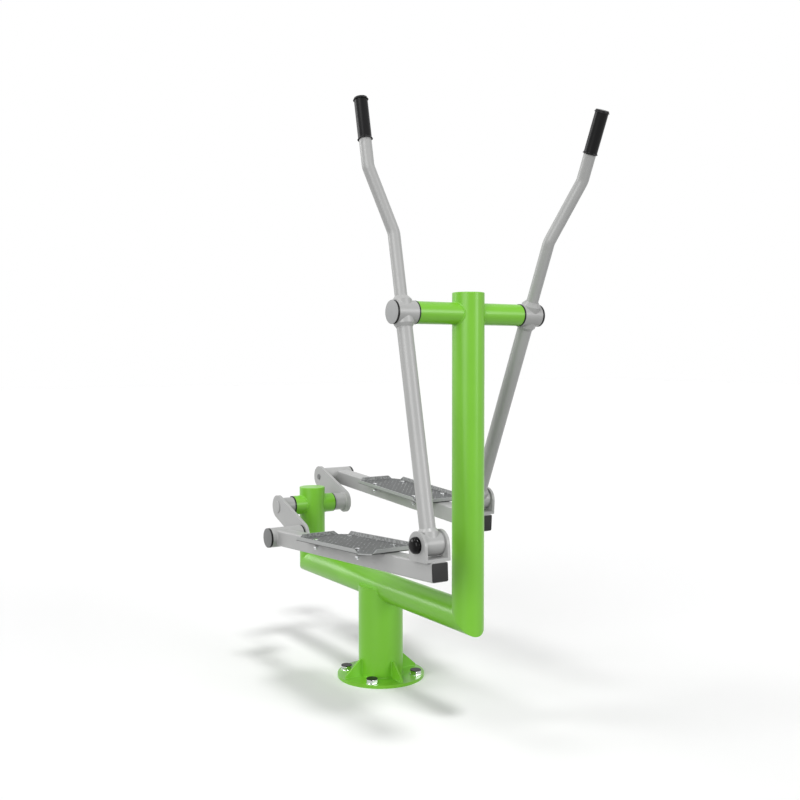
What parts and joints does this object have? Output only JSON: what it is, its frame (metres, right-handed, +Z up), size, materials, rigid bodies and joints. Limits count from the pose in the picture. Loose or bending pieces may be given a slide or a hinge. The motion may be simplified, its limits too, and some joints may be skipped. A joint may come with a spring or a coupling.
{
  "type": "outdoor cross trainer",
  "caption": "Outdoor cross trainer with a green bent-tube frame on a bolted column, grey swinging hand levers, pedal bars with footplates and a rear crank.",
  "frame": {"origin": "centre of the underside of the base flange, in the middle of the anchor pattern", "axes": "+X to the front post, +Y to the user's left, +Z up"},
  "size_m": [1.4094, 0.6096, 1.6996],
  "materials": {
    "green_powder_coat": "satin",
    "grey_powder_coat": "satin",
    "footplate_grey": "satin",
    "dark_grey_paint": "satin",
    "zinc_plate": "satin",
    "black_nylon": "matte",
    "black_plastic": "gloss",
    "grip_rubber": "matte"
  },
  "bodies": {
    "frame": {"base_flange": "green_powder_coat", "base_gussets": "green_powder_coat", "anchor_nuts": "zinc_plate", "column": "green_powder_coat", "main_beam": "green_powder_coat", "front_post": "green_powder_coat", "rear_post": "green_powder_coat", "closing_plates": "green_powder_coat", "crossbar": "green_powder_coat", "crossbar_plugs": "green_powder_coat", "lever_shaft": "zinc_plate", "crank_housing": "green_powder_coat", "crank_bearings": "black_nylon"},
    "crank": {"crank_axle": "zinc_plate", "right_crank_arm": "grey_powder_coat", "left_crank_arm": "grey_powder_coat", "right_crank_hub": "grey_powder_coat", "left_crank_hub": "grey_powder_coat", "crank_end_caps": "grey_powder_coat", "crank_pin_ends": "dark_grey_paint"},
    "right_lever": {"right_lever_hub": "grey_powder_coat", "right_lever_tube": "grey_powder_coat", "right_handle_tube": "grey_powder_coat", "right_tube_collars": "grey_powder_coat", "right_grip": "grip_rubber", "right_lever_bearings": "black_nylon", "right_hub_cap": "dark_grey_paint", "right_fork_hub": "grey_powder_coat"},
    "right_pedal": {"right_pedal_bar": "grey_powder_coat", "right_footplate_lugs": "grey_powder_coat", "right_bar_plug": "black_plastic", "right_clevis": "grey_powder_coat", "right_fork_pin": "zinc_plate", "right_fork_cap": "black_plastic", "right_footplate": "footplate_grey", "right_footplate_bolts": "zinc_plate", "right_rear_housing": "grey_powder_coat", "right_crank_pin": "zinc_plate", "right_pin_bearings": "black_nylon", "right_rear_cap": "dark_grey_paint"},
    "left_lever": {"left_lever_hub": "grey_powder_coat", "left_lever_tube": "grey_powder_coat", "left_handle_tube": "grey_powder_coat", "left_tube_collars": "grey_powder_coat", "left_grip": "grip_rubber", "left_lever_bearings": "black_nylon", "left_hub_cap": "dark_grey_paint", "left_fork_hub": "grey_powder_coat"},
    "left_pedal": {"left_pedal_bar": "grey_powder_coat", "left_footplate_lugs": "grey_powder_coat", "left_bar_plug": "black_plastic", "left_clevis": "grey_powder_coat", "left_fork_pin": "zinc_plate", "left_fork_cap": "black_plastic", "left_footplate": "footplate_grey", "left_footplate_bolts": "zinc_plate", "left_rear_housing": "grey_powder_coat", "left_crank_pin": "zinc_plate", "left_pin_bearings": "black_nylon", "left_rear_cap": "dark_grey_paint"}
  },
  "joints": [
    {"name": "right_lever_swing", "type": "hinge", "parent": "frame", "child": "right_lever", "pos_m": [0.4657, -0.2114, 1.124], "axis": [0, 1, 0], "range_deg": [0, 27]},
    {"name": "left_lever_swing", "type": "hinge", "parent": "frame", "child": "left_lever", "pos_m": [0.4657, 0.2114, 1.124], "axis": [0, 1, 0], "range_deg": [-23.7, 0]},
    {"name": "crank_turn", "type": "hinge", "parent": "frame", "child": "crank", "pos_m": [-0.4687, 0, 0.487], "axis": [0, 1, 0], "range_deg": [0, 90.35]},
    {"name": "right_fork_pivot", "type": "hinge", "parent": "right_lever", "child": "right_pedal", "pos_m": [0.58895, -0.2114, 0.53373], "axis": [0, 1, 0], "range_deg": [-35.32, 0]},
    {"name": "left_fork_pivot", "type": "hinge", "parent": "left_lever", "child": "left_pedal", "pos_m": [0.22502, 0.2114, 0.57112], "axis": [0, 1, 0], "range_deg": [0, 34.61]}
  ],
  "couplings": [
    {"joint": "left_lever_swing", "follows": "right_lever_swing", "ratio": -0.87788},
    {"joint": "crank_turn", "follows": "right_lever_swing", "ratio": 3.3463},
    {"joint": "right_fork_pivot", "follows": "right_lever_swing", "ratio": -1.3082},
    {"joint": "left_fork_pivot", "follows": "right_lever_swing", "ratio": 1.2819}
  ]
}
